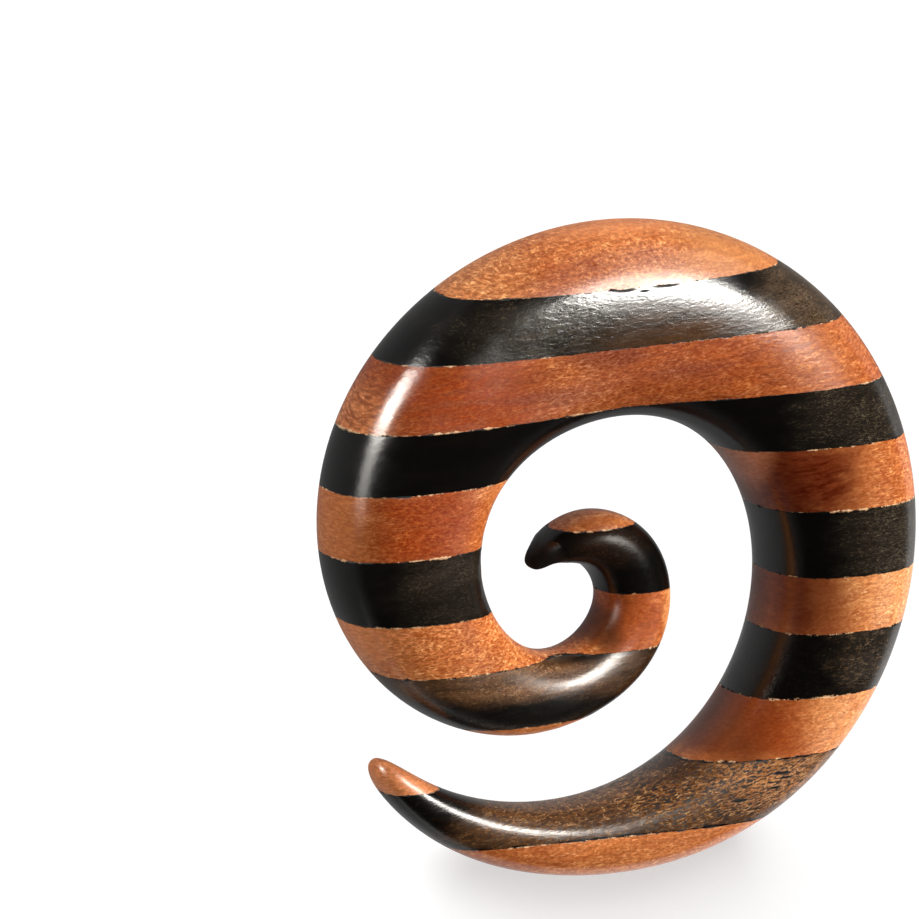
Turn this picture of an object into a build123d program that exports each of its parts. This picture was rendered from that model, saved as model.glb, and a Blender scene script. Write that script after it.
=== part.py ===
from build123d import *
from collections import namedtuple
import math
import os

# Spiral ear taper, carved from a blank of glued boards in two woods.
# It lies on one of its two flat faces. Z is up, X runs along the glue joints and Y across
# them, the board at the top of the coil lying furthest along +Y. The origin is under the
# middle of the coil, at the surface that it lies on. Millimetres and degrees.

# Driving dimensions
coil_reach = 23.5       # from the eye of the coil out to the middle of the arm, where it is largest
arm_width = 14.8        # widest section of the arm, across the coil
arm_depth = 11.6        # deepest section of the arm, from the front face to the back face
inner_end_angle = 140.0  # direction of the inner end from the eye, counted from +X towards +Y
shoulder_share = 0.6    # shoulder radius of a section, for its smaller half size
flat_turn = 45.0        # how far a face or a side of a section turns over its width
eye_floor = 0.24        # light wood left right under the eye, above the glue joint there
coil_foot = 0.54        # light wood left at the arm's outer edge there, below the next joint
glue_line = 0.05        # thickness of a glue joint
blank_margin = 2.0      # what the blank has round the carved coil before carving

# Stations along the arm, from the inner end to the outer tip: the turn in degrees, clockwise
# from the inner end, then the middle of the arm as a share of coil_reach and the section's
# width and depth as shares of arm_width and arm_depth
Station = namedtuple("Station", "turn reach width depth")
stations = [
    Station(0, 0.162, 0.018, 0.045),
    Station(2, 0.162, 0.030, 0.070),
    Station(5, 0.162, 0.048, 0.110),
    Station(10, 0.162, 0.072, 0.170),
    Station(20, 0.164, 0.114, 0.280),
    Station(35, 0.169, 0.168, 0.390),
    Station(50, 0.175, 0.214, 0.455),
    Station(70, 0.192, 0.278, 0.495),
    Station(95, 0.216, 0.343, 0.508),
    Station(140, 0.242, 0.379, 0.488),
    Station(185, 0.256, 0.383, 0.500),
    Station(230, 0.289, 0.375, 0.603),
    Station(275, 0.374, 0.513, 0.707),
    Station(320, 0.535, 0.733, 0.828),
    Station(365, 0.735, 0.913, 0.914),
    Station(410, 0.876, 1.000, 0.955),
    Station(455, 0.989, 0.961, 0.995),
    Station(500, 0.974, 0.784, 0.995),
    Station(545, 0.880, 0.565, 0.870),
    Station(590, 0.798, 0.380, 0.650),
    Station(622, 0.809, 0.270, 0.475),
    Station(634, 0.821, 0.203, 0.400),
    Station(640, 0.828, 0.160, 0.345),
    Station(643.5, 0.831, 0.115, 0.270),
    Station(645.3, 0.833, 0.068, 0.170),
    Station(646, 0.834, 0.030, 0.075),
]

# Layers of the blank from the top down: the thickness and then the blocks that the carving
# leaves of it, each with its place along X, all as shares of coil_reach. The outer boards reach
# to the edge of the blank and the one of coil_dark across the arm, so they have none here.
Layer = namedtuple("Layer", "thickness blocks")
layers = [
    Layer(None, {"top_cap_light": 0.2}),
    Layer(0.190, {"crown_dark": 0.2}),
    Layer(0.211, {"arch_light": 0.2}),
    Layer(0.193, {"arch_dark": 0.2}),
    Layer(0.213, {"upper_left_light": -0.6, "curl_cap_light": 0.1, "upper_right_light": 1.0}),
    Layer(0.219, {"left_dark": -0.6, "curl_dark": 0.1, "right_dark": 1.0}),
    Layer(0.185, {"coil_light": -0.3, "right_light": 1.0}),
    Layer(None, {"coil_dark": -0.1, "lower_right_dark": 0.9}),
    Layer(0.188, {"tip_light": -0.75, "coil_foot_light": -0.1, "lower_right_light": 0.7}),
    Layer(0.203, {"base_dark": 0.0}),
    Layer(None, {"base_light": 0.1}),
]


def middle_of_arm(station):
    angle = math.radians(inner_end_angle - station.turn)
    reach = station.reach * coil_reach
    return Vector(reach * math.cos(angle), reach * math.sin(angle), 0)


def section_outline(half_width, half_depth):
    # Two flattened faces and two flattened sides, joined by four rounded shoulders, all arcs.
    # The shoulder's arc fixes those of the side and the face, which meet it without a corner.
    near = math.radians(flat_turn / 2)
    middle = math.radians(45)
    rise = 1 - math.cos(near)
    run = math.sin(near)
    shoulder = shoulder_share * min(half_width, half_depth)
    width_left = half_width - shoulder * (math.cos(near) - math.sin(near))
    depth_left = half_depth - shoulder * (math.cos(near) - math.sin(near))
    side = (run * depth_left - rise * width_left) / (run**2 - rise**2)
    face = (run * width_left - rise * depth_left) / (run**2 - rise**2)
    side_end = (half_width - side * rise, side * run)
    shoulder_middle = (
        side_end[0] + shoulder * (math.cos(middle) - math.cos(near)),
        side_end[1] + shoulder * (math.sin(middle) - math.sin(near)),
    )
    face_end = (face * run, half_depth - face * rise)
    right = [(half_width, 0), side_end, shoulder_middle, face_end]
    left = [(0, half_depth)] + [(-x, y) for x, y in reversed(right[1:])]
    points = right + left + [(-x, -y) for x, y in right + left]
    arcs = []
    for k in range(-1, len(points) - 1, 2):
        arcs.append(ThreePointArc(points[k], points[k + 1], points[k + 2]))
    return Wire(arcs)


def carved_coil():
    # The whole arm, lofted through its stations round the eye at the origin
    middles = [middle_of_arm(station) for station in stations]
    centre_line = Spline(*middles)
    outlines = []
    for station, middle in zip(stations, middles):
        along = centre_line.tangent_at(middle)
        across = Vector(-along.Y, along.X, 0)
        plane = Plane(origin=middle, x_dir=across, z_dir=along)
        outline = section_outline(station.width * arm_width / 2, station.depth * arm_depth / 2)
        outlines.append(plane.from_local_coords(outline))
    return Solid.make_loft(outlines)


def board(top, bottom, blank):
    # One board of the blank, less half a glue joint on each side
    size = blank.size
    middle = blank.center()
    solid = Box(size.X + 2 * blank_margin, top - bottom - glue_line, size.Z + 2 * blank_margin)
    return Pos(middle.X, (top + bottom) / 2, middle.Z) * solid


def joint_heights():
    # Glue joints above the eye, from the top down. The arm right under the eye places the
    # boards: one joint runs just below its inner edge and the next just above its outer edge.
    arm = min(stations, key=lambda station: abs(station.turn - inner_end_angle - 90))
    middle = -arm.reach * coil_reach
    half_width = arm.width * arm_width / 2
    heights = [middle + half_width - eye_floor, middle - half_width + coil_foot]
    across = [number for number, layer in enumerate(layers) if "coil_dark" in layer.blocks][0]
    for layer in reversed(layers[1:across]):
        heights.insert(0, heights[0] + layer.thickness * coil_reach)
    for layer in layers[across + 1:-1]:
        heights.append(heights[-1] - layer.thickness * coil_reach)
    return heights


def carved_blocks(coil):
    # What the carving leaves of each board, by name
    blank = coil.bounding_box()
    edges = [blank.max.Y + blank_margin] + joint_heights() + [blank.min.Y - blank_margin]
    named = {}
    for layer, top, bottom in zip(layers, edges, edges[1:]):
        for solid in (coil & board(top, bottom, blank)).solids():
            place = solid.center().X / coil_reach
            name = min(layer.blocks, key=lambda block: abs(layer.blocks[block] - place))
            named.setdefault(name, []).append(solid)
    return named


coil = carved_coil()
extent = coil.bounding_box()
to_rest = Location((-extent.center().X, -extent.center().Y, -extent.min.Z))
os.makedirs("parts", exist_ok=True)
for name, solids in carved_blocks(coil).items():
    shape = solids[0] if len(solids) == 1 else Compound(children=solids)
    export_step(shape.moved(to_rest), f"parts/{name}.step")
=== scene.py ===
import math

import bmesh
import bpy
import numpy as np
from mathutils import Matrix, Vector


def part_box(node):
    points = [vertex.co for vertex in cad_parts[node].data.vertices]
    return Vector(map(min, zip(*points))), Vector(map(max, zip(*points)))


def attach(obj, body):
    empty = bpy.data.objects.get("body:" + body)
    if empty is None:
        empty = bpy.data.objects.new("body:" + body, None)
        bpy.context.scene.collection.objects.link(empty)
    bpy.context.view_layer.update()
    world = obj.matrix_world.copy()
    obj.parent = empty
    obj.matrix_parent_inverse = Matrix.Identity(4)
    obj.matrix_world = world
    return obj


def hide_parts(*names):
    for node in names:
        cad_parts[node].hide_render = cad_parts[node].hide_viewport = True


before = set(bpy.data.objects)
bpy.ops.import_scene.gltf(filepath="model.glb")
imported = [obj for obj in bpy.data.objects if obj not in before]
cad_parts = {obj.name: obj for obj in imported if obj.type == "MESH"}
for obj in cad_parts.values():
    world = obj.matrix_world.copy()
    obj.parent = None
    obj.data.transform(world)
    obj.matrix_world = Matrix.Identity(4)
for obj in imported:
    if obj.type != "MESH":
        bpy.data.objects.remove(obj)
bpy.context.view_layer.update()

# Spiral ear taper of two woods, carved from a glued blank, lying on its flat face.
# Metres, except while the arm is shaped and in the dictionaries of the arm, the boards and the
# woods, which are in millimetres.
mm = 0.001


def put(tree, kind, takes=None, **settings):
    # one shader node, with its settings and with values or links for its sockets
    node = tree.nodes.new("ShaderNode" + kind)
    for name, value in settings.items():
        setattr(node, name, value)
    for socket, value in (takes or {}).items():
        if isinstance(value, bpy.types.NodeSocket):
            tree.links.new(value, node.inputs[socket])
        else:
            node.inputs[socket].default_value = value
    return node


# Camera, floor and lights

camera = {
    "eyeOfCoil": (-0.00450, -0.00332, 0.00584),
    "yaw": 26.79,            # degrees, round the upright of the picture
    "rise": 12.29,           # degrees, from the coil's axis towards its top
    "roll": -0.70,
    "distance": 1.495,       # metres
    "lens": 777.0,           # mm
    "sensor": 36.0,          # mm
    "clip": (0.05, 20.0),    # metres that it sees from and to
    "aside": -0.00793,       # metres, from the eye to the middle of the picture
    "above": 0.01021,
}


def pictureAxes():
    yaw, rise, roll = (math.radians(camera[k]) for k in ("yaw", "rise", "roll"))
    back = Vector((-math.sin(yaw) * math.cos(rise), math.sin(rise), math.cos(yaw) * math.cos(rise)))
    level = Vector((0, 1, 0)).cross(back).normalized()
    upright = back.cross(level)
    right = math.cos(roll) * level + math.sin(roll) * upright
    up = -math.sin(roll) * level + math.cos(roll) * upright
    return right, up, back


def setCamera():
    right, up, back = pictureAxes()
    lens = bpy.data.cameras.new("pictureLens")
    lens.lens = camera["lens"]
    lens.sensor_width = camera["sensor"]
    lens.clip_start, lens.clip_end = camera["clip"]
    holder = bpy.data.objects.new("pictureCamera", lens)
    bpy.context.scene.collection.objects.link(holder)
    turned = Matrix((right, up, back)).transposed().to_4x4()
    eye = Vector(camera["eyeOfCoil"])
    place = eye + back * camera["distance"] + right * camera["aside"] + up * camera["above"]
    holder.matrix_world = Matrix.Translation(place) @ turned
    bpy.context.scene.camera = holder


softLights = {
    # where each lamp stands, as a direction from the coil and how far away, its size in metres,
    # and whether it shades the wood, only shines in its polish, or lights the floor
    "sideKey": {
        "way": (0.64, 0.64, 0.42), "away": 0.55, "size": (0.40, 0.32), "watts": 4.2, "job": "shade",
    },
    "lowFill": {
        "way": (0.70, -0.48, 0.53), "away": 0.55, "size": (0.30, 0.30), "watts": 2.9, "job": "shade",
    },
    "leftFill": {
        "way": (-0.89, 0.41, 0.20), "away": 0.55, "size": (0.30, 0.20), "watts": 1.6, "job": "shade",
    },
    "frontBox": {
        "way": (0.47, 0.27, 0.84), "away": 0.60, "size": (0.17, 0.15), "watts": 6.0, "job": "shine",
    },
    "frontGlow": {
        "way": (0.51, 0.10, 0.86), "away": 0.60, "size": (0.16, 0.14), "watts": 0.8, "job": "shine",
    },
    "leftBox": {
        "way": (-0.76, 0.57, 0.30), "away": 0.60, "size": (0.20, 0.26), "watts": 8.0, "job": "shine",
    },
    "leftGlow": {
        "way": (-0.92, 0.20, 0.32), "away": 0.60, "size": (0.26, 0.24), "watts": 1.4, "job": "shine",
    },
    "floorLamp": {
        "way": (-0.36, 0.52, 0.77), "away": 0.60, "size": (0.36, 0.36), "watts": 4.9, "job": "floor",
    },
}
shineColour = (1.0, 0.97, 0.91)


def addLight(name, lamp):
    light = bpy.data.lights.new(name, "AREA")
    light.shape = "RECTANGLE"
    light.size, light.size_y = lamp["size"]
    light.energy = lamp["watts"]
    if lamp["job"] == "shine":
        light.color = shineColour
    holder = bpy.data.objects.new(name, light)
    bpy.context.scene.collection.objects.link(holder)
    way = Vector(lamp["way"]).normalized()
    holder.rotation_mode = "QUATERNION"
    holder.rotation_quaternion = way.to_track_quat("Z", "Y")
    holder.location = Vector(camera["eyeOfCoil"]) + way * lamp["away"]
    holder.visible_diffuse = lamp["job"] != "shine"
    holder.visible_glossy = lamp["job"] == "shine"
    return holder


def aimLamps(lamps, ground):
    # one lamp is for the floor alone, and the others leave the floor as it is
    alone = bpy.data.collections.new("floorAlone")
    alone.objects.link(ground)
    without = bpy.data.collections.new("allButTheFloor")
    without.objects.link(ground)
    without.collection_objects[0].light_linking.link_state = "EXCLUDE"
    for name, holder in lamps.items():
        onFloor = softLights[name]["job"] == "floor"
        holder.light_linking.receiver_collection = alone if onFloor else without


floor = {
    "size": 6.0,
    "roughness": 0.9,
    "shine": 0.1,
    "seenColour": (0.45, 0.45, 0.45, 1.0),
    "seenGlow": 0.62,
    "unseenColour": (0.03, 0.03, 0.03, 1.0),
    # what the coil mirrors of the floor: pale towards this side, dark towards the other
    "paleSide": (0.50, -0.87, 0.0),
    "mirrored": (0.20, 1.00),
    "fade": (0.0, 0.05),     # metres towards the pale side
}


def layFloor():
    bpy.ops.mesh.primitive_plane_add(size=floor["size"], location=(0, 0, 0))
    ground = bpy.context.object
    ground.name = "paleFloor"
    material = bpy.data.materials.new("paleFloor")
    material.use_nodes = True
    tree = material.node_tree
    shader = tree.nodes["Principled BSDF"]
    shader.inputs["Roughness"].default_value = floor["roughness"]
    shader.inputs["Specular IOR Level"].default_value = floor["shine"]
    shader.inputs["Emission Color"].default_value = (1.0, 1.0, 1.0, 1.0)
    seen = put(tree, "LightPath").outputs["Is Camera Ray"]
    spot = put(tree, "TexCoord").outputs["Object"]
    side = put(tree, "VectorMath", {0: spot, 1: floor["paleSide"]}, operation="DOT_PRODUCT").outputs["Value"]
    mirrored = put(tree, "MapRange", {
        "Value": side,
        "From Min": floor["fade"][0],
        "From Max": floor["fade"][1],
        "To Min": floor["mirrored"][0],
        "To Max": floor["mirrored"][1],
    }, interpolation_type="SMOOTHSTEP").outputs["Result"]
    glow = put(tree, "Mix", {0: seen, 2: mirrored, 3: floor["seenGlow"]}).outputs[0]
    colour = put(tree, "Mix", {
        0: seen, 6: floor["unseenColour"], 7: floor["seenColour"],
    }, data_type="RGBA").outputs[2]
    tree.links.new(glow, shader.inputs["Emission Strength"])
    tree.links.new(colour, shader.inputs["Base Color"])
    ground.data.materials.append(material)
    return ground


studio = {
    "seen": 1.0,             # how bright the air is behind the floor
    "overhead": 0.02,        # how much light it sends on the coil from above
    "sideways": 0.16,        # and from low down
    "fadeTo": 0.45,          # sine of the height where the low light ends
}


def lightStudio():
    world = bpy.data.worlds.new("studioAir")
    world.use_nodes = True
    tree = world.node_tree
    way = put(tree, "TexCoord").outputs["Generated"]
    height = put(tree, "SeparateXYZ", {0: way}).outputs["Z"]
    strength = put(tree, "MapRange", {
        "Value": height,
        "From Max": studio["fadeTo"],
        "To Min": studio["sideways"],
        "To Max": studio["overhead"],
    }, interpolation_type="SMOOTHERSTEP").outputs["Result"]
    dim = tree.nodes["Background"]
    dim.inputs["Color"].default_value = (1.0, 1.0, 1.0, 1.0)
    tree.links.new(strength, dim.inputs["Strength"])
    pale = put(tree, "Background", {"Strength": studio["seen"]})
    seen = put(tree, "LightPath").outputs["Is Camera Ray"]
    choice = put(tree, "MixShader", {0: seen, 1: dim.outputs[0], 2: pale.outputs[0]})
    tree.links.new(choice.outputs[0], tree.nodes["World Output"].inputs["Surface"])
    bpy.context.scene.world = world
    bpy.context.scene.view_settings.view_transform = "Standard"
    return {name: addLight(name, lamp) for name, lamp in softLights.items()}


bpy.ops.object.select_all(action="DESELECT")
setCamera()
ground = layFloor()
lamps = lightStudio()
aimLamps(lamps, ground)
print("camera, floor and lights are set")

# The carved arm

arm = {
    "reach": 23.5,           # mm, from the eye of the coil to the arm's middle, where it is largest
    "width": 14.8,           # mm, across the coil
    "depth": 11.6,           # mm, front face to back face
    "innerEnd": 140.0,       # degrees, direction of the inner end from the eye
    "longestStep": 7.0,      # degrees between two rings
    "cornerCut": 0.75,       # rounding of a ring's corners, for its half size
    "cageGrowth": 1.003,     # the cage stands this much outside the smoothed form
    "smoothing": 3,          # levels of subdivision
    # the small inner turn is sanded rounder: mm from the eye, then how often it is gone over
    "sanding": [(10.5, 12), (9.8, 16), (9.0, 24)],
    "stroke": 0.5,           # how far one go moves a point towards its neighbours
    "nose": (-2.9, 2.4, 2.6),  # left as it is: place from the eye, and how far round it
    # turn in degrees clockwise from the inner end, then shares: the middle of the arm of the
    # reach, and the section's width and depth
    "stations": [
        (0, 0.163, 0.022, 0.055),
        (1, 0.163, 0.044, 0.100),
        (3, 0.163, 0.064, 0.140),
        (6, 0.163, 0.080, 0.175),
        (11, 0.163, 0.097, 0.215),
        (20, 0.164, 0.114, 0.280),
        (35, 0.169, 0.168, 0.390),
        (50, 0.175, 0.214, 0.455),
        (70, 0.192, 0.278, 0.495),
        (95, 0.216, 0.343, 0.508),
        (140, 0.242, 0.379, 0.488),
        (185, 0.256, 0.383, 0.500),
        (230, 0.289, 0.375, 0.603),
        (275, 0.374, 0.513, 0.707),
        (320, 0.535, 0.733, 0.828),
        (365, 0.735, 0.913, 0.914),
        (410, 0.876, 1.000, 0.955),
        (455, 0.989, 0.961, 0.995),
        (500, 0.974, 0.784, 0.995),
        (545, 0.880, 0.565, 0.870),
        (590, 0.798, 0.380, 0.650),
        (622, 0.809, 0.270, 0.475),
        (634, 0.821, 0.203, 0.400),
        (640, 0.828, 0.160, 0.345),
        (643.5, 0.831, 0.115, 0.270),
        (645.3, 0.833, 0.068, 0.170),
        (646, 0.834, 0.030, 0.075),
    ],
}


def smoothThrough(knots, values, places):
    # a natural cubic curve through the values at the knots, read off at the places
    gap = np.diff(knots)
    slope = np.diff(values) / gap
    system = np.eye(len(knots))
    change = np.zeros(len(knots))
    for k in range(1, len(knots) - 1):
        system[k, k - 1:k + 2] = gap[k - 1], 2 * (gap[k - 1] + gap[k]), gap[k]
        change[k] = 6 * (slope[k] - slope[k - 1])
    bend = np.linalg.solve(system, change)
    k = np.clip(np.searchsorted(knots, places) - 1, 0, len(gap) - 1)
    after, before = places - knots[k], knots[k + 1] - places
    return (
        (bend[k] * before**3 + bend[k + 1] * after**3) / (6 * gap[k])
        + (values[k] / gap[k] - bend[k] * gap[k] / 6) * before
        + (values[k + 1] / gap[k] - bend[k + 1] * gap[k] / 6) * after
    )


def ringsOfArm():
    # place, heading and half sizes of each ring of the cage, in millimetres round the eye
    table = np.array(arm["stations"], float)
    turns = [table[0, 0]]
    for start, end in zip(table[:, 0], table[1:, 0]):
        count = math.ceil((end - start) / arm["longestStep"])
        turns += [start + (end - start) * (k + 1) / count for k in range(count)]
    turns = np.array(turns)
    reach, width, depth = (smoothThrough(table[:, 0], table[:, k], turns) for k in (1, 2, 3))
    angles = np.radians(arm["innerEnd"] - turns)
    places = np.stack([np.cos(angles), np.sin(angles)], 1) * (reach * arm["reach"])[:, None]
    ways = np.gradient(places, turns, axis=0)
    rings = []
    for place, way, wide, deep in zip(places, ways, width, depth):
        rings.append({
            "place": Vector((place[0], place[1], 0)),
            "heading": math.atan2(way[1], way[0]) - math.pi / 2,
            "wide": wide * arm["width"] / 2 * arm["cageGrowth"],
            "deep": deep * arm["depth"] / 2 * arm["cageGrowth"],
        })
    return rings


def turnAbout(angle, centre):
    # with no window transform.rotate turns the other way
    bpy.ops.transform.rotate(value=-angle, orient_axis="Z", center_override=centre)


def resizeAcross(wide, deep, heading, centre):
    bpy.ops.transform.resize(
        value=(wide, 1, deep),
        orient_type="GLOBAL",
        orient_matrix=Matrix.Rotation(heading, 3, "Z"),
        orient_matrix_type="GLOBAL",
        constraint_axis=(True, False, True),
        center_override=centre,
    )


def sandWithin(horn, reach, strokes):
    # smooths all that lies within the reach of the eye, apart from the nose
    x, y, near = arm["nose"]
    shape = bmesh.from_edit_mesh(horn.data)
    for vertex in shape.verts:
        across = vertex.co.xy
        vertex.select = across.length < reach and (across - Vector((x, y))).length > near
    shape.select_flush_mode()
    bmesh.update_edit_mesh(horn.data)
    bpy.ops.mesh.vertices_smooth(factor=arm["stroke"], repeat=strokes)


def growArm():
    rings = ringsOfArm()
    bpy.ops.object.select_all(action="DESELECT")
    bpy.ops.mesh.primitive_plane_add(size=2, location=(0, 0, 0), rotation=(math.pi / 2, 0, 0))
    horn = bpy.context.object
    horn.name = "carvedArm"
    bpy.ops.object.transform_apply(location=True, rotation=True, scale=True)
    bpy.ops.object.mode_set(mode="EDIT")
    bpy.ops.mesh.select_all(action="SELECT")
    bpy.ops.mesh.bevel(offset=arm["cornerCut"], segments=3, affect="VERTICES")
    bpy.ops.mesh.select_all(action="SELECT")
    first = rings[0]
    resizeAcross(first["wide"], first["deep"], 0.0, (0, 0, 0))
    turnAbout(first["heading"], (0, 0, 0))
    bpy.ops.transform.translate(value=first["place"])
    for before, here in zip(rings, rings[1:]):
        step = here["place"] - before["place"]
        turn = (here["heading"] - before["heading"] + math.pi) % (2 * math.pi) - math.pi
        bpy.ops.mesh.extrude_region_move(TRANSFORM_OT_translate={"value": step})
        turnAbout(turn, here["place"])
        resizeAcross(
            here["wide"] / before["wide"], here["deep"] / before["deep"], here["heading"], here["place"]
        )
    bpy.ops.mesh.select_all(action="SELECT")
    bpy.ops.mesh.normals_make_consistent(inside=False)
    bpy.ops.object.mode_set(mode="OBJECT")
    rounding = horn.modifiers.new("rounding", "SUBSURF")
    rounding.levels = rounding.render_levels = arm["smoothing"]
    bpy.ops.object.modifier_apply(modifier=rounding.name)
    bpy.ops.object.mode_set(mode="EDIT")
    for reach, strokes in arm["sanding"]:
        sandWithin(horn, reach, strokes)
    bpy.ops.mesh.select_all(action="SELECT")
    bpy.ops.transform.resize(value=(mm, mm, mm), center_override=(0, 0, 0))
    bpy.ops.transform.translate(value=camera["eyeOfCoil"])
    bpy.ops.object.mode_set(mode="OBJECT")
    return horn


wholeArm = growArm()
print("the arm is shaped:", len(wholeArm.data.polygons), "faces")

# The boards of the blank, from the top down, and what the carving leaves of each


def rgb(red, green, blue):
    return (red, green, blue, 1.0)


redWood = rgb(0.40, 0.060, 0.006)
deepRed = rgb(0.095, 0.010, 0.002)
# gold wood, and also the colour of a painted highlight on the small turn
goldToneAndHighlight = rgb(1.00, 0.430, 0.150)
orangeWood = rgb(0.90, 0.310, 0.105)
clayWood = rgb(0.62, 0.190, 0.050)
# umber wood, and also the colour of painted shade on the small turn's inner wall
umberToneAndShade = rgb(0.055, 0.022, 0.010)
brownWood = rgb(0.34, 0.145, 0.052)
smokedWood = rgb(0.150, 0.085, 0.042)
plumWood = rgb(0.230, 0.055, 0.030)
duskBrown = rgb(0.050, 0.036, 0.024)


def toneAndLightArea(x, y, along, across, colour, amount, lively):
    # a soft-edged area of another colour, mostly the wood's own tone and in a few places painted
    # shade, painted highlight and painted reflection: its middle and reach in millimetres, and how
    # mottled and flecked the wood is in it, the pale flecks partly painted glints
    return {"at": (x, y), "reach": (along, across), "colour": colour, "amount": amount, "lively": lively}


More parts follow.
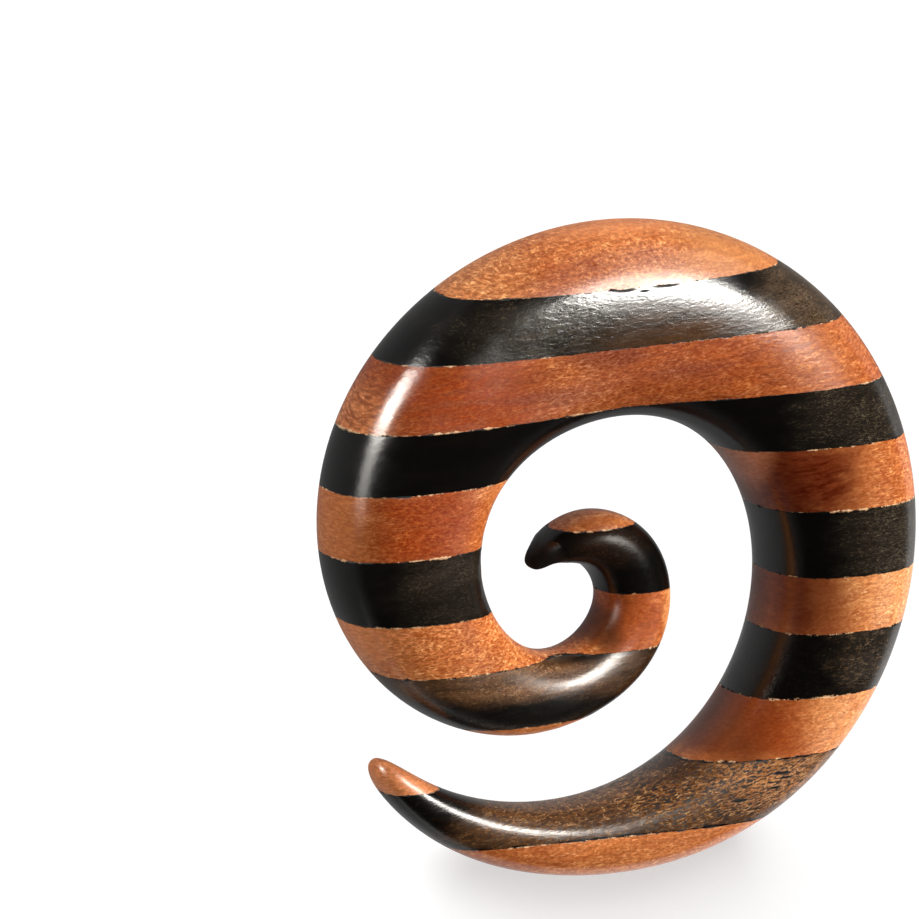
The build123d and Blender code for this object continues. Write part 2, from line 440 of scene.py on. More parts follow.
boards = [
    {"wood": "light", "nodes": ["top_cap_light"], "look": {
        "polish": (0.26, 0.36), "lively": 0.9,
        "toneAndLightAreas": [
            toneAndLightArea(-12.0, 22.6, 3.5, 2.5, goldToneAndHighlight, 0.6, 0.8),
            toneAndLightArea(8.0, 22.6, 5.0, 2.8, rgb(0.72, 0.28, 0.085), 0.9, 0.1),
            toneAndLightArea(-6.0, 21.8, 5.0, 1.6, redWood, 0.5, 0.9),
            toneAndLightArea(0.0, 25.4, 9.0, 1.1, orangeWood, 0.8, 0.0),
        ],
    }},
    {"wood": "dark", "nodes": ["crown_dark"], "look": {
        "polish": (0.14, 0.22), "dents": 1.7,
        "marks": [(-1.9, 20.82, 1.9, 0.30), (1.7, 20.82, 2.4, 0.30), (-0.2, 20.6, 0.8, 0.20)],
        "toneAndLightAreas": [
            toneAndLightArea(14.5, 18.2, 5.0, 3.6, smokedWood, 0.9, 1.0),
            toneAndLightArea(8.0, 15.8, 7.0, 1.2, smokedWood, 0.5, 0.6),
            toneAndLightArea(1.0, 17.2, 6.5, 2.2, brownWood, 0.35, 0.5),
            toneAndLightArea(-8.0, 18.4, 7.0, 2.4, duskBrown, 0.9, 0.7),
        ],
    }},
    {"wood": "light", "nodes": ["arch_light"], "look": {
        "polish": (0.18, 0.27), "lively": 0.8, "fleckLength": 2.4,
        "lineShare": 0.8, "layerShare": 0.75,
        "body": rgb(0.60, 0.165, 0.040), "deep": rgb(0.44, 0.100, 0.022),
        "toneAndLightAreas": [
            toneAndLightArea(-15.0, 14.0, 7.5, 4.4, redWood, 1.0, 0.5),
            toneAndLightArea(-5.5, 14.8, 4.0, 3.5, clayWood, 0.7, 1.0),
            toneAndLightArea(3.0, 14.8, 7.5, 3.4, redWood, 0.5, 0.7),
            toneAndLightArea(-23.0, 13.0, 2.2, 4.0, orangeWood, 0.9, 0.4),
            toneAndLightArea(15.0, 14.5, 4.0, 4.0, clayWood, 0.9, 0.6),
            toneAndLightArea(-3.5, 15.9, 3.6, 0.8, plumWood, 0.75, 0.9),
            toneAndLightArea(-9.5, 13.4, 3.2, 0.5, plumWood, 0.55, 0.8),
            toneAndLightArea(3.5, 14.2, 3.4, 0.5, plumWood, 0.5, 0.8),
        ],
    }},
    {"wood": "dark", "nodes": ["arch_dark"], "look": {
        "polish": (0.18, 0.27), "lively": 0.0,
        "toneAndLightAreas": [
            toneAndLightArea(18.0, 9.6, 5.0, 4.0, duskBrown, 0.9, 1.0),
        ],
    }},
    {"wood": "light", "nodes": ["upper_left_light", "curl_cap_light", "upper_right_light"], "look": {
        "fleckLength": 2.2,
        "toneAndLightAreas": [
            toneAndLightArea(-18.5, 4.5, 5.4, 4.4, redWood, 0.95, 0.8),
            toneAndLightArea(-24.5, 4.6, 1.6, 4.0, clayWood, 0.8, 0.2),
            toneAndLightArea(13.4, 4.6, 5.4, 4.6, deepRed, 1.0, 0.2),
            # painted reflection: the pale sheen of the floor along the right arm's inner edge
            toneAndLightArea(9.4, 4.6, 1.6, 4.0, rgb(0.70, 0.26, 0.13), 0.9, 0.0),
            # painted shade: a dark band where the right arm's inner side turns away from the light
            toneAndLightArea(12.4, 4.6, 0.9, 4.0, deepRed, 0.9, 0.0),
            toneAndLightArea(21.0, 4.6, 3.0, 3.6, clayWood, 0.9, 0.9),
            toneAndLightArea(-4.6, 2.6, 3.4, 2.0, rgb(0.50, 0.16, 0.045), 0.9, 0.5),
            toneAndLightArea(-8.0, 1.9, 1.6, 1.4, umberToneAndShade, 0.9, 0.1),
        ],
    }},
    {"wood": "dark", "nodes": ["left_dark", "curl_dark", "right_dark"], "look": {
        "polish": (0.17, 0.26), "chipReach": 0.18,
        "marks": [(-7.1, -0.4, 3.0, 2.6)],
        "toneAndLightAreas": [
            toneAndLightArea(-16.5, -0.3, 4.5, 3.4, duskBrown, 0.8, 0.45),
            toneAndLightArea(21.0, -0.6, 4.4, 3.6, duskBrown, 1.0, 0.85),
            toneAndLightArea(-2.0, 0.6, 3.0, 1.6, umberToneAndShade, 0.5, 0.3),
        ],
    }},
    {"wood": "light", "nodes": ["coil_light", "right_light"], "look": {
        "polish": (0.24, 0.34), "lively": 1.0,
        "toneAndLightAreas": [
            toneAndLightArea(-23.0, -5.0, 3.0, 3.2, orangeWood, 0.9, 0.1),
            toneAndLightArea(0.3, -5.2, 3.0, 3.2, redWood, 0.8, 0.3),
            # painted highlight: a soft pale band down the right of the small turn
            toneAndLightArea(3.5, -5.2, 0.9, 2.8, goldToneAndHighlight, 0.8, 0.3),
            # painted shade and painted dark reflection on the inner wall of the small turn
            toneAndLightArea(-2.3, -5.7, 1.3, 2.4, umberToneAndShade, 0.8, 0.0),
            toneAndLightArea(13.0, -4.8, 5.6, 4.6, deepRed, 0.75, 0.0),
            # painted reflection: the pale sheen of the floor along the right arm's inner edge
            toneAndLightArea(9.6, -4.8, 1.5, 4.0, rgb(0.72, 0.24, 0.11), 0.9, 0.0),
            # painted shade: a dark band where the right arm's inner side turns away from the light
            toneAndLightArea(13.2, -4.8, 0.9, 4.0, deepRed, 0.8, 0.0),
            toneAndLightArea(21.0, -4.8, 4.0, 4.0, goldToneAndHighlight, 0.9, 0.6),
        ],
    }},
    {"wood": "dark", "nodes": ["coil_dark", "lower_right_dark"], "look": {
        "polish": (0.23, 0.32), "chipReach": 0.18,
        "fleck": rgb(0.42, 0.24, 0.11), "mottle": rgb(0.20, 0.15, 0.11),
        "toneAndLightAreas": [
            toneAndLightArea(-11.0, -8.2, 8.5, 1.7, brownWood, 1.0, 1.0),
            toneAndLightArea(-2.5, -8.8, 4.5, 1.8, brownWood, 0.4, 0.8),
            toneAndLightArea(18.5, -9.2, 3.2, 3.2, duskBrown, 0.9, 0.6),
            toneAndLightArea(-4.0, -7.5, 3.6, 0.7, rgb(0.006, 0.005, 0.004), 1.0, 0.0),
        ],
    }},
    {"wood": "light", "nodes": ["tip_light", "coil_foot_light", "lower_right_light"], "look": {
        "polish": (0.28, 0.38), "lively": 0.6,
        "toneAndLightAreas": [
            toneAndLightArea(8.2, -14.0, 4.8, 4.4, deepRed, 0.85, 0.0),
            toneAndLightArea(12.0, -14.2, 3.0, 3.4, redWood, 0.6, 0.5),
            toneAndLightArea(17.0, -14.2, 4.0, 4.0, goldToneAndHighlight, 0.7, 0.4),
            toneAndLightArea(-20.6, -15.0, 5.0, 5.0, orangeWood, 1.0, 0.3),
        ],
    }},
    {"wood": "dark", "nodes": ["base_dark"], "look": {
        "polish": (0.18, 0.27), "shine": 0.36, "glue": 0.11,
        "stripes": 0.2, "layerShare": 0.8, "tilt": 12.0,
        "longPores": 0.45, "poreShare": 0.80, "poreLength": 0.8,
        "poreAmount": (0.2, 1.0), "poreDepth": -0.8,
        "marks": [
            (7.7, -19.7, 1.4, 0.30), (11.2, -17.9, 1.8, 0.26),
            (11.6, -18.3, 1.4, 0.20), (10.6, -19.0, 1.6, 0.22),
        ],
        "fleckLength": 1.8, "cellFineness": 1.25,
        "fleck": rgb(0.70, 0.38, 0.15), "mottle": rgb(0.32, 0.22, 0.15),
        "toneAndLightAreas": [
            toneAndLightArea(-8.0, -20.0, 7.0, 2.0, brownWood, 0.6, 0.8),
            toneAndLightArea(6.0, -18.6, 10.5, 3.4, brownWood, 1.0, 1.0),
            toneAndLightArea(11.0, -17.8, 5.0, 2.4, goldToneAndHighlight, 0.55, 1.0),
            toneAndLightArea(3.0, -16.8, 3.0, 1.3, umberToneAndShade, 0.9, 0.3),
        ],
    }},
    {"wood": "light", "nodes": ["base_light"], "look": {
        "lively": 0.6, "fleckLength": 1.8,
        "toneAndLightAreas": [
            toneAndLightArea(-11.0, -22.4, 4.5, 1.8, redWood, 0.4, 0.6),
        ],
    }},
]


def makerName(node):
    first, *others = node.split("_")
    return first + "".join(word.capitalize() for word in others)


def copyOf(piece, name):
    copied = piece.copy()
    copied.data = piece.data.copy()
    copied.name = name
    bpy.context.scene.collection.objects.link(copied)
    return copied


def pick(piece):
    bpy.ops.object.select_all(action="DESELECT")
    piece.select_set(True)
    bpy.context.view_layer.objects.active = piece


def cutAt(piece, height, keepAbove):
    pick(piece)
    bpy.ops.object.mode_set(mode="EDIT")
    bpy.ops.mesh.select_all(action="SELECT")
    bpy.ops.mesh.bisect(
        plane_co=(0, height, 0),
        plane_no=(0, 1, 0),
        use_fill=True,
        clear_inner=keepAbove,
        clear_outer=not keepAbove,
        threshold=0.0000001,
    )
    bpy.ops.object.mode_set(mode="OBJECT")


def looseParts(piece):
    pick(piece)
    bpy.ops.object.mode_set(mode="EDIT")
    bpy.ops.mesh.select_all(action="SELECT")
    bpy.ops.mesh.separate(type="LOOSE")
    bpy.ops.object.mode_set(mode="OBJECT")
    return list(bpy.context.selected_objects)


def middleOf(piece):
    corners = np.array([v.co for v in piece.data.vertices])
    return Vector((corners.min(0) + corners.max(0)) / 2)


def boxMiddle(node):
    low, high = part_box(node)
    return (low + high) / 2


def jointHeights():
    # each board meets the next one halfway through the glue
    heights = []
    for upper, lower in zip(boards, boards[1:]):
        low = min(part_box(node)[0].y for node in upper["nodes"])
        high = max(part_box(node)[1].y for node in lower["nodes"])
        heights.append((low + high) / 2)
    return heights


def cutBoards():
    blocks = {}
    rest = wholeArm
    for number, board in enumerate(boards):
        sawn = copyOf(rest, "board")
        if number < len(boards) - 1:
            cutAt(sawn, joints[number], keepAbove=True)
            cutAt(rest, joints[number], keepAbove=False)
        for part in looseParts(sawn):
            node = min(board["nodes"], key=lambda name: (boxMiddle(name) - middleOf(part)).length)
            blocks[node] = part
    bpy.data.objects.remove(rest)
    return blocks


joints = jointHeights()
blocks = cutBoards()
for node, part in blocks.items():
    print(node, len(part.data.polygons), "faces")

# Woods


def newEffect(name, takes, gives):
    # an empty node group with named sockets, and its two ends
    group = bpy.data.node_groups.new(name, "ShaderNodeTree")
    for label, value in takes.items():
        kind = "NodeSocketVector" if isinstance(value, tuple) else "NodeSocketFloat"
        group.interface.new_socket(label, in_out="INPUT", socket_type=kind).default_value = value
    for label in gives:
        group.interface.new_socket(label, in_out="OUTPUT", socket_type="NodeSocketFloat")
    return group, group.nodes.new("NodeGroupInput"), group.nodes.new("NodeGroupOutput")


def maths(tree, operation, first, second=0.0, clamp=False):
    return put(tree, "Math", {0: first, 1: second}, operation=operation, use_clamp=clamp).outputs[0]


def vectorMaths(tree, operation, *vectors):
    return put(tree, "VectorMath", dict(enumerate(vectors)), operation=operation).outputs[0]


def times(tree, first, second):
    return maths(tree, "MULTIPLY", first, second)


def between(tree, value, low, high):
    # 0 below low, 1 above high
    return put(tree, "MapRange", {"Value": value, "From Min": low, "From Max": high}).outputs["Result"]


def graded(tree, share, least, most):
    # least where the share is 0, most where it is 1
    return put(tree, "MapRange", {"Value": share, "To Min": least, "To Max": most}).outputs["Result"]


def pattern(tree, place, fine, turn=0.0, detail=3.0, rough=0.55, warp=0.0, levels=None):
    # noise, as fine as the three numbers say along, across and through the board, turned by
    # some degrees, and with levels 0 below the lower one and 1 above the upper one
    laid = put(tree, "Mapping", {
        "Vector": place,
        "Rotation": (0.0, 0.0, math.radians(turn)),
        "Scale": fine,
    }).outputs[0]
    value = put(tree, "TexNoise", {
        "Vector": laid, "Scale": 1.0, "Detail": detail, "Roughness": rough, "Distortion": warp,
    }).outputs["Fac"]
    return between(tree, value, *levels) if levels else value


def drawnOut(tree, place, length):
    # a pattern on this place is so many times as long along the board
    shorter = maths(tree, "DIVIDE", 1.0, length)
    scale = put(tree, "CombineXYZ", {"X": shorter, "Y": 1.0, "Z": 1.0}).outputs[0]
    return vectorMaths(tree, "MULTIPLY", place, scale)


grainPattern = {
    "swayFineness": 0.16,
    "sway": (0.0, 2.4, 2.4),     # mm that the lines leave their straight way
    "lines": {"fine": (0.22, 2.7, 2.7), "detail": 4.0, "rough": 0.65, "levels": (0.36, 0.66)},
    "bands": {"fine": (0.05, 0.62, 0.62), "rough": 0.6, "levels": (0.38, 0.62)},
    "layers": {"fine": (0.45, 4.4, 0.9), "detail": 2.0, "rough": 0.5, "levels": (0.42, 0.60)},
}


def makeGrainEffect():
    # fine lines along the board, the broad bands that they lie in, and the layers on its ends
    group, start, end = newEffect("boardGrain", {"Place": (0.0, 0.0, 0.0)}, ["Lines", "Bands", "Layers"])
    place = start.outputs["Place"]
    sway = put(group, "TexNoise", {
        "Vector": place, "Scale": grainPattern["swayFineness"], "Detail": 2.0,
    }).outputs["Color"]
    sway = vectorMaths(group, "SUBTRACT", sway, (0.5, 0.5, 0.5))
    place = vectorMaths(group, "MULTIPLY_ADD", sway, grainPattern["sway"], place)
    for name in ("lines", "bands", "layers"):
        group.links.new(pattern(group, place, **grainPattern[name]), end.inputs[name.capitalize()])
    return group


toneAndLightPattern = {
    "uneven": {"fine": (0.22, 0.7, 0.7), "detail": 4.0, "rough": 0.6},
    "full": 0.40,                # an area is full up to this share of its reach
    "gone": 1.45,                # and gone from here on
}


def makeToneAndLightEffect():
    # a soft-edged area of a board in another colour: the wood's own tone, and in a few places painted shade,
    # painted highlight and painted reflection
    group, start, end = newEffect("woodToneAndLight", {
        "Place": (0.0, 0.0, 0.0), "Middle": (0.0, 0.0, 0.0), "Reach": (3.0, 3.0, 3.0),
    }, ["Mask"])
    place = start.outputs["Place"]
    away = vectorMaths(group, "SUBTRACT", place, start.outputs["Middle"])
    away = vectorMaths(group, "DIVIDE", away, start.outputs["Reach"])
    far = put(group, "VectorMath", {0: away}, operation="LENGTH").outputs["Value"]
    uneven = pattern(group, place, **toneAndLightPattern["uneven"])
    far = maths(group, "ADD", far, maths(group, "SUBTRACT", uneven, 0.5))
    soft = put(group, "MapRange", {
        "Value": far, "From Min": toneAndLightPattern["gone"], "From Max": toneAndLightPattern["full"],
    }, interpolation_type="SMOOTHSTEP").outputs["Result"]
    group.links.new(soft, end.inputs["Mask"])
    return group


porePattern = {
    "dashes": {"fine": (1.5, 7.0, 7.0), "detail": 1.5, "rough": 0.5},
    "fewest": 0.80,              # level of the noise that leaves none
    "more": 0.36,                # and how far a full share lowers it
    "sharp": 18.0,
}


def makePoreEffect():
    # open pores: short dashes along the board
    group, start, end = newEffect("openPores", {
        "Place": (0.0, 0.0, 0.0), "Share": 0.3, "Length": 1.0,
    }, ["Pores"])
    place = drawnOut(group, start.outputs["Place"], start.outputs["Length"])
    dashes = pattern(group, place, **porePattern["dashes"])
    lower = times(group, start.outputs["Share"], porePattern["more"])
    over = maths(group, "SUBTRACT", dashes, maths(group, "SUBTRACT", porePattern["fewest"], lower))
    pores = maths(group, "MULTIPLY", over, porePattern["sharp"], clamp=True)
    group.links.new(pores, end.inputs["Pores"])
    return group


fleckPattern = {
    "cells": {
        "fine": (3.0, 6.0, 1.6), "turn": 6.0,
        "detail": 2.0, "rough": 0.6, "warp": 0.3, "levels": (0.40, 0.60),
    },
    "winding": {"fine": (1.5, 2.9, 0.8), "detail": 2.0, "warp": 0.3},
    "thickness": 0.075,
    "sharp": 45.0,
    "pieces": {"fine": (1.6, 2.4, 1.0), "turn": 30.0, "rough": 0.65, "levels": (0.42, 0.56)},
}


def makeFleckEffect():
    # the close mottling of the cells, and flecks: short pieces of a winding line, pale flecks that are
    # partly painted glints
    group, start, end = newEffect("paleFlecks", {
        "Place": (0.0, 0.0, 0.0), "Share": 0.4, "Fineness": 1.0, "Length": 1.0,
    }, ["Mottle", "Flecks"])
    place = put(group, "VectorMath", {
        0: start.outputs["Place"], "Scale": start.outputs["Fineness"],
    }, operation="SCALE").outputs[0]
    group.links.new(pattern(group, place, **fleckPattern["cells"]), end.inputs["Mottle"])
    longer = drawnOut(group, place, start.outputs["Length"])
    winding = pattern(group, longer, **fleckPattern["winding"])
    off = maths(group, "ABSOLUTE", maths(group, "SUBTRACT", winding, 0.5))
    thick = times(group, start.outputs["Share"], fleckPattern["thickness"])
    inside = maths(group, "SUBTRACT", thick, off)
    lines = maths(group, "MULTIPLY", inside, fleckPattern["sharp"], clamp=True)
    pieces = pattern(group, place, **fleckPattern["pieces"])
    group.links.new(times(group, lines, pieces), end.inputs["Flecks"])
    return group


jointPattern = {
    # across the joint the patterns hardly change, so that chips start at the joint itself
    "chips": {"fine": (1.1, 0.5, 1.1), "detail": 4.0, "rough": 0.7, "levels": (0.50, 0.74)},
    "chipSharp": 30.0,
    "torn": {"fine": (1.6, 1.2, 1.6), "turn": 8.0, "detail": 4.0, "rough": 0.75},
    "tornLevels": (0.52, 0.80),
    "tornSharp": 16.0,
    "often": {"fine": (0.22, 0.3, 0.22), "detail": 2.0},
    "oftenShare": 0.8,
    "glue": {"fine": (0.7, 0.3, 0.7), "levels": (0.30, 0.70)},
    "glueMost": 2.0,             # times its usual thickness
    "glueSharp": 25.0,
}


def reachingIn(tree, share, reach, near, sharp):
    # 1 beside the joint, as far as this share of the reach, and 0 beyond
    inside = maths(tree, "SUBTRACT", times(tree, share, reach), near)
    return maths(tree, "MULTIPLY", inside, sharp, clamp=True)


def makeJointEffect():
    # what sawing and gluing leave at a board's edges: dark chips, their black partly dark glue and partly
    # painted shade in their hollows, torn pale fibres and the glue
    group, start, end = newEffect("gluedEdge", {
        "Place": (0.0, 0.0, 0.0), "Top": 5.0, "Bottom": 0.0, "Reach": 0.25, "Glue": 0.06,
    }, ["Chips", "Fibres", "Line"])
    place = start.outputs["Place"]
    reach = start.outputs["Reach"]
    height = put(group, "SeparateXYZ", {0: place}).outputs["Y"]
    toTop = maths(group, "ABSOLUTE", maths(group, "SUBTRACT", height, start.outputs["Top"]))
    toBottom = maths(group, "ABSOLUTE", maths(group, "SUBTRACT", height, start.outputs["Bottom"]))
    near = maths(group, "MINIMUM", toTop, toBottom)
    chipped = pattern(group, place, **jointPattern["chips"])
    chips = reachingIn(group, chipped, reach, near, jointPattern["chipSharp"])
    group.links.new(chips, end.inputs["Chips"])
    often = maths(group, "SUBTRACT", pattern(group, place, **jointPattern["often"]), 0.5)
    often = times(group, often, jointPattern["oftenShare"])
    torn = maths(group, "ADD", pattern(group, place, **jointPattern["torn"]), often)
    torn = between(group, torn, *jointPattern["tornLevels"])
    fibres = reachingIn(group, torn, reach, near, jointPattern["tornSharp"])
    group.links.new(fibres, end.inputs["Fibres"])
    thick = pattern(group, place, **jointPattern["glue"])
    most = times(group, start.outputs["Glue"], jointPattern["glueMost"])
    line = reachingIn(group, thick, most, near, jointPattern["glueSharp"])
    group.links.new(line, end.inputs["Line"])
    return group


rubbedPattern = {
    "patches": {"fine": (0.25, 0.4, 0.4), "levels": (0.35, 0.65)},
    "dents": {"fine": (1.3, 3.4, 3.4), "turn": 6.0, "rough": 0.6, "warp": 0.6, "levels": (0.35, 0.65)},
    "scratches": {"fine": (1.2, 6.0, 6.0), "turn": 62.0, "detail": 2.0, "rough": 0.6, "warp": 0.5},
    "often": {"fine": (0.20, 0.45, 0.45), "detail": 1.0, "levels": (0.42, 0.62)},
}


def makeRubbedEffect():
    # how hand rubbing leaves the surface: more and less polished patches, dents, fine scratches
    group, start, end = newEffect("handRubbed", {
        "Place": (0.0, 0.0, 0.0),
    }, ["Dullness", "Dents", "Scratches"])
    place = start.outputs["Place"]
    found = {name: pattern(group, place, **rubbedPattern[name]) for name in rubbedPattern}
    group.links.new(found["patches"], end.inputs["Dullness"])
    group.links.new(found["dents"], end.inputs["Dents"])
    group.links.new(times(group, found["scratches"], found["often"]), end.inputs["Scratches"])
    return group


effects = {
    "grain": makeGrainEffect(),
    "toneAndLightArea": makeToneAndLightEffect(),
    "pores": makePoreEffect(),
    "flecks": makeFleckEffect(),
    "joint": makeJointEffect(),
    "rubbed": makeRubbedEffect(),
}


def useEffect(tree, name, takes):
    return put(tree, "Group", takes, node_tree=effects[name]).outputs


def blendColour(tree, share, under, over, mode="MIX"):
    return put(tree, "Mix", {0: share, 6: under, 7: over}, data_type="RGBA", blend_type=mode).outputs[2]


anyLook = {
    "tilt": 4.0,             # degrees that the grain leans from the joints
    "poreLength": 1.0,
    "longPores": 0.0,        # share of a few longer open pores besides
    "marks": [],             # single black chips, their black partly painted shade in the hollow: their middle and size in millimetres
}
lightLook = {
    **anyLook,
    "body": rgb(0.86, 0.300, 0.090),
    "deep": rgb(0.58, 0.145, 0.030),
    "line": rgb(0.30, 0.070, 0.020),
    "mottle": rgb(0.55, 0.34, 0.22),
    "fleck": rgb(1.60, 2.40, 3.10),
    "fleckWay": "MULTIPLY",
    "pore": rgb(0.16, 0.045, 0.015),
    "chip": rgb(0.012, 0.008, 0.006),
    "fibre": rgb(0.90, 0.58, 0.32),
    "stripes": 0.0,          # how far the bands of the grain break up the figures
    "lively": 0.50,          # how mottled and flecked the wood is, the pale flecks partly painted glints
    "deepShare": 0.45,
    "lineShare": 0.50,
    "layerShare": 0.25,
    "mottleShare": (0.25, 0.95),
    "fleckShare": 0.50,
    "fleckLength": 1.2,
    "cellFineness": 1.0,
    "poreShare": 0.20,
    "poreAmount": (0.2, 0.6),
    "poreDepth": -1.0,
    "dents": 1.2,
    "scratches": 0.8,
    "chipReach": 0.20,       # mm from the joint
    "glue": 0.05,            # mm
    "polish": (0.17, 0.26),  # roughness, where it is rubbed most and least
    "shine": 0.42,
}
darkLook = {
    **anyLook,
    "body": rgb(0.0026, 0.0022, 0.0018),
    "deep": rgb(0.0070, 0.0048, 0.0034),
    "line": rgb(0.0030, 0.0025, 0.0020),
    "mottle": rgb(0.14, 0.12, 0.10),
    "fleck": rgb(0.150, 0.110, 0.062),
    "fleckWay": "MIX",
    "pore": rgb(0.003, 0.003, 0.003),
    "chip": rgb(0.003, 0.003, 0.003),
    "fibre": rgb(0.60, 0.34, 0.17),
    "stripes": 0.6,
    "lively": 0.02,
    "deepShare": 0.50,
    "lineShare": 0.45,
    "layerShare": 0.30,
    "mottleShare": (0.30, 0.90),
    "fleckShare": 0.42,
    "fleckLength": 2.2,
    "cellFineness": 1.8,
    "poreShare": 0.35,
    "poreAmount": (0.0, 0.9),
    "poreDepth": -0.8,
    "dents": 1.4,
    "scratches": 0.7,
    "chipReach": 0.13,
    "glue": 0.03,
    "polish": (0.13, 0.20),
    "shine": 0.50,
}
surface = {
    "relief": 0.0032,        # mm of height for one unit of the heights here and in the looks
    "lineHeight": -0.5,
    "layerHeight": -1.0,
    "chipHeight": -3.0,
    "poreDullness": 0.2,
    "chipDullness": 0.7,
    "longPoreLength": 3.0,
    "cutAcross": (0.45, 0.85),  # how far such a face looks along the board: least, and fully
    "linesThere": 0.3,       # share of the grain's lines that it still shows
    # areas go right through the board, and marks are at the front: middle and reach, in mm
    "areaDepth": (6.0, 30.0),
    "markDepth": (10.0, 8.0),
    "smoothUnder": 40.0,     # degrees between two faces
}


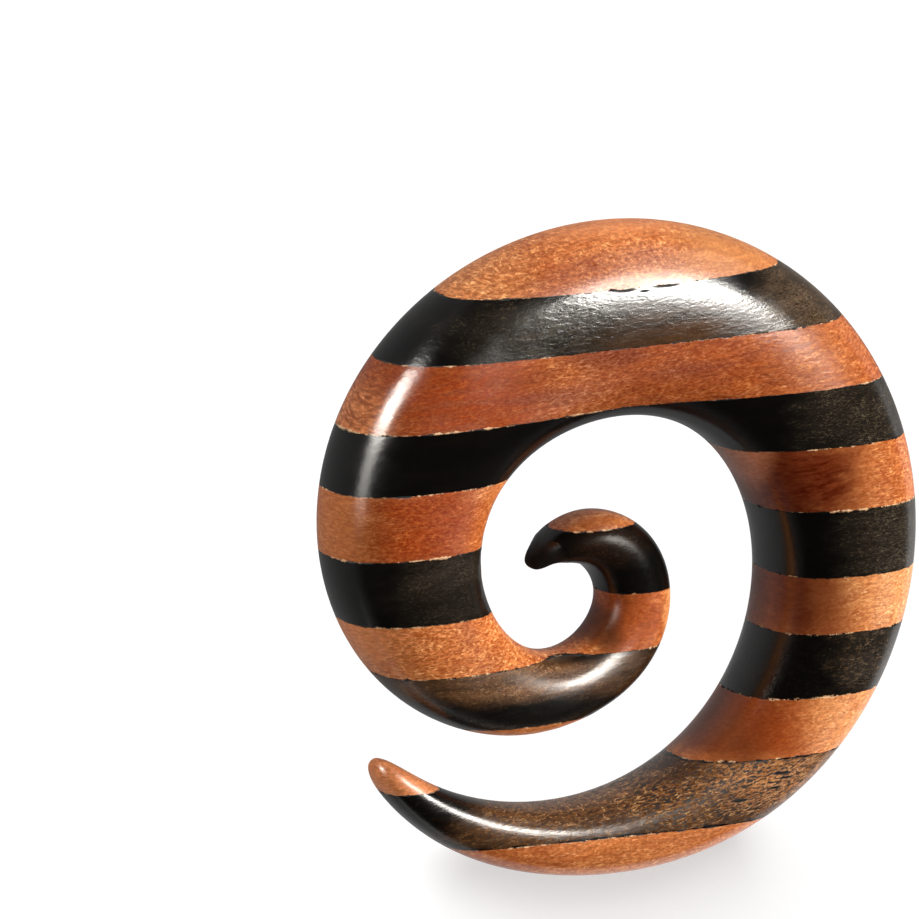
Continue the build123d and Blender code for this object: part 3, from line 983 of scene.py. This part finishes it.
def makeWood(name, look, top, bottom):
    material = bpy.data.materials.new(name)
    material.use_nodes = True
    tree = material.node_tree
    shader = tree.nodes["Principled BSDF"]
    spot = put(tree, "TexCoord").outputs
    straight = put(tree, "Mapping", {"Vector": spot["Object"], "Scale": (1 / mm, 1 / mm, 1 / mm)}).outputs[0]
    laid = put(tree, "Mapping", {
        "Vector": straight,
        "Location": look["shift"],
        "Rotation": (0.0, 0.0, math.radians(-look["tilt"])),
    }).outputs[0]
    grain = useEffect(tree, "grain", {"Place": laid})
    pores = useEffect(tree, "pores", {
        "Place": laid,
        "Share": look["poreShare"],
        "Length": look["poreLength"],
    })
    flecks = useEffect(tree, "flecks", {
        "Place": laid,
        "Share": look["fleckShare"],
        "Fineness": look["cellFineness"],
        "Length": look["fleckLength"],
    })
    joint = useEffect(tree, "joint", {
        "Place": straight,
        "Top": top / mm,
        "Bottom": bottom / mm,
        "Reach": look["chipReach"],
        "Glue": look["glue"],
    })
    rubbed = useEffect(tree, "rubbed", {"Place": laid})

    # where the board is cut across, its layers show and the lines along it hardly do
    facing = put(tree, "SeparateXYZ", {0: spot["Normal"]}).outputs["X"]
    endOn = between(tree, maths(tree, "ABSOLUTE", facing), *surface["cutAcross"])
    layers = times(tree, times(tree, grain["Layers"], endOn), look["layerShare"])
    lines = times(tree, grain["Lines"], graded(tree, endOn, 1.0, surface["linesThere"]))

    # the board's own colour, with its areas of other tone, some of them painted shade, painted highlight and
    # painted reflection, and how lively the wood is in them
    deep = times(tree, grain["Bands"], look["deepShare"])
    colour = blendColour(tree, deep, look["body"], look["deep"])
    lively = look["lively"]
    striped = maths(tree, "SUBTRACT", 1.0, times(tree, grain["Bands"], look["stripes"]))
    middle, reach = surface["areaDepth"]
    for area in look["toneAndLightAreas"]:
        mask = useEffect(tree, "toneAndLightArea", {
            "Place": straight, "Middle": (*area["at"], middle), "Reach": (*area["reach"], reach),
        })["Mask"]
        mask = times(tree, times(tree, mask, area["amount"]), striped)
        colour = blendColour(tree, mask, colour, area["colour"])
        lively = put(tree, "Mix", {0: mask, 2: lively, 3: area["lively"]}).outputs[0]

    # lines, mottling and flecks, the pale flecks partly painted glints, then pores
    colour = blendColour(tree, times(tree, lines, look["lineShare"]), colour, look["line"])
    colour = blendColour(tree, layers, colour, look["line"])
    mottle = times(tree, flecks["Mottle"], graded(tree, lively, *look["mottleShare"]))
    colour = blendColour(tree, mottle, colour, look["mottle"], "MULTIPLY")
    # pale flecks: partly the wood's own, partly painted glints
    bright = times(tree, flecks["Flecks"], lively)
    colour = blendColour(tree, bright, colour, look["fleck"], look["fleckWay"])
    porous = times(tree, pores["Pores"], graded(tree, lively, *look["poreAmount"]))
    if look["longPores"]:
        longer = useEffect(tree, "pores", {
            "Place": straight,
            "Share": look["longPores"],
            "Length": surface["longPoreLength"],
        })
        porous = maths(tree, "MAXIMUM", porous, times(tree, longer["Pores"], lively))
    colour = blendColour(tree, porous, colour, look["pore"])

    # what the joints and single marks leave, the chips' black partly painted shade in their hollows
    colour = blendColour(tree, joint["Line"], colour, look["chip"])
    colour = blendColour(tree, joint["Fibres"], colour, look["fibre"])
    chips = joint["Chips"]
    middle, reach = surface["markDepth"]
    for x, y, along, across in look["marks"]:
        mark = useEffect(tree, "toneAndLightArea", {
            "Place": straight, "Middle": (x, y, middle), "Reach": (along / 2, across / 2, reach),
        })["Mask"]
        chips = maths(tree, "MAXIMUM", chips, mark)
    colour = blendColour(tree, chips, colour, look["chip"])
    tree.links.new(colour, shader.inputs["Base Color"])
    shader.inputs["Specular IOR Level"].default_value = look["shine"]

    dull = graded(tree, rubbed["Dullness"], *look["polish"])
    for mask, amount in ((porous, surface["poreDullness"]), (chips, surface["chipDullness"])):
        dull = maths(tree, "ADD", dull, times(tree, mask, amount))
    tree.links.new(dull, shader.inputs["Roughness"])

    height = times(tree, lines, surface["lineHeight"])
    for mask, amount in (
        (layers, surface["layerHeight"]),
        (rubbed["Dents"], look["dents"]),
        (rubbed["Scratches"], look["scratches"]),
        (porous, look["poreDepth"]),
        (chips, surface["chipHeight"]),
    ):
        height = maths(tree, "ADD", height, times(tree, mask, amount))
    bump = put(tree, "Bump", {"Height": height, "Strength": 1.0, "Distance": surface["relief"] * mm})
    tree.links.new(bump.outputs["Normal"], shader.inputs["Normal"])
    return material


def finishBlock(part, node, wood):
    part.name = makerName(node)
    part.data.name = part.name
    part.data.materials.clear()
    part.data.materials.append(wood)
    pick(part)
    bpy.ops.object.shade_smooth_by_angle(angle=math.radians(surface["smoothUnder"]))
    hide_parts(node)
    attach(part, "root")


farOff = 1.0                 # metres, for the outermost boards' sides that have no joint
boardShift = (17.0, 9.0, 5.0)  # mm, so that no two boards show the same grain
edges = [farOff] + joints + [-farOff]
for number, board in enumerate(boards):
    look = {**(lightLook if board["wood"] == "light" else darkLook), **board["look"]}
    look["shift"] = tuple(step * number for step in boardShift)
    wood = makeWood(makerName(board["nodes"][0]) + "Wood", look, edges[number], edges[number + 1])
    for node in board["nodes"]:
        finishBlock(blocks[node], node, wood)
print("the blocks are finished:", len(blocks))


def keepShineFrom(lampName, pieces):
    # this lamp isn't mirrored in these pieces, nor in the floor
    spared = bpy.data.collections.new("sparedBy" + lampName.capitalize())
    for thing in [ground] + pieces:
        spared.objects.link(thing)
    for entry in spared.collection_objects:
        entry.light_linking.link_state = "EXCLUDE"
    lamps[lampName].light_linking.receiver_collection = spared


rightPieces = [part for node, part in blocks.items() if "right" in node]
turnedAway = [blocks["arch_dark"], blocks["left_dark"]]
innerPieces = [blocks["coil_light"], blocks["curl_dark"]]
keepShineFrom("leftBox", rightPieces + innerPieces)
keepShineFrom("frontBox", rightPieces + turnedAway + innerPieces)
keepShineFrom("frontGlow", rightPieces + turnedAway + [blocks["base_dark"]])
keepShineFrom("leftGlow", rightPieces)

# only the lowest board leaves a shade on the floor
shadeMakers = bpy.data.collections.new("shadeMakers")
shadeMakers.objects.link(blocks["base_light"])
lamps["floorLamp"].light_linking.blocker_collection = shadeMakers
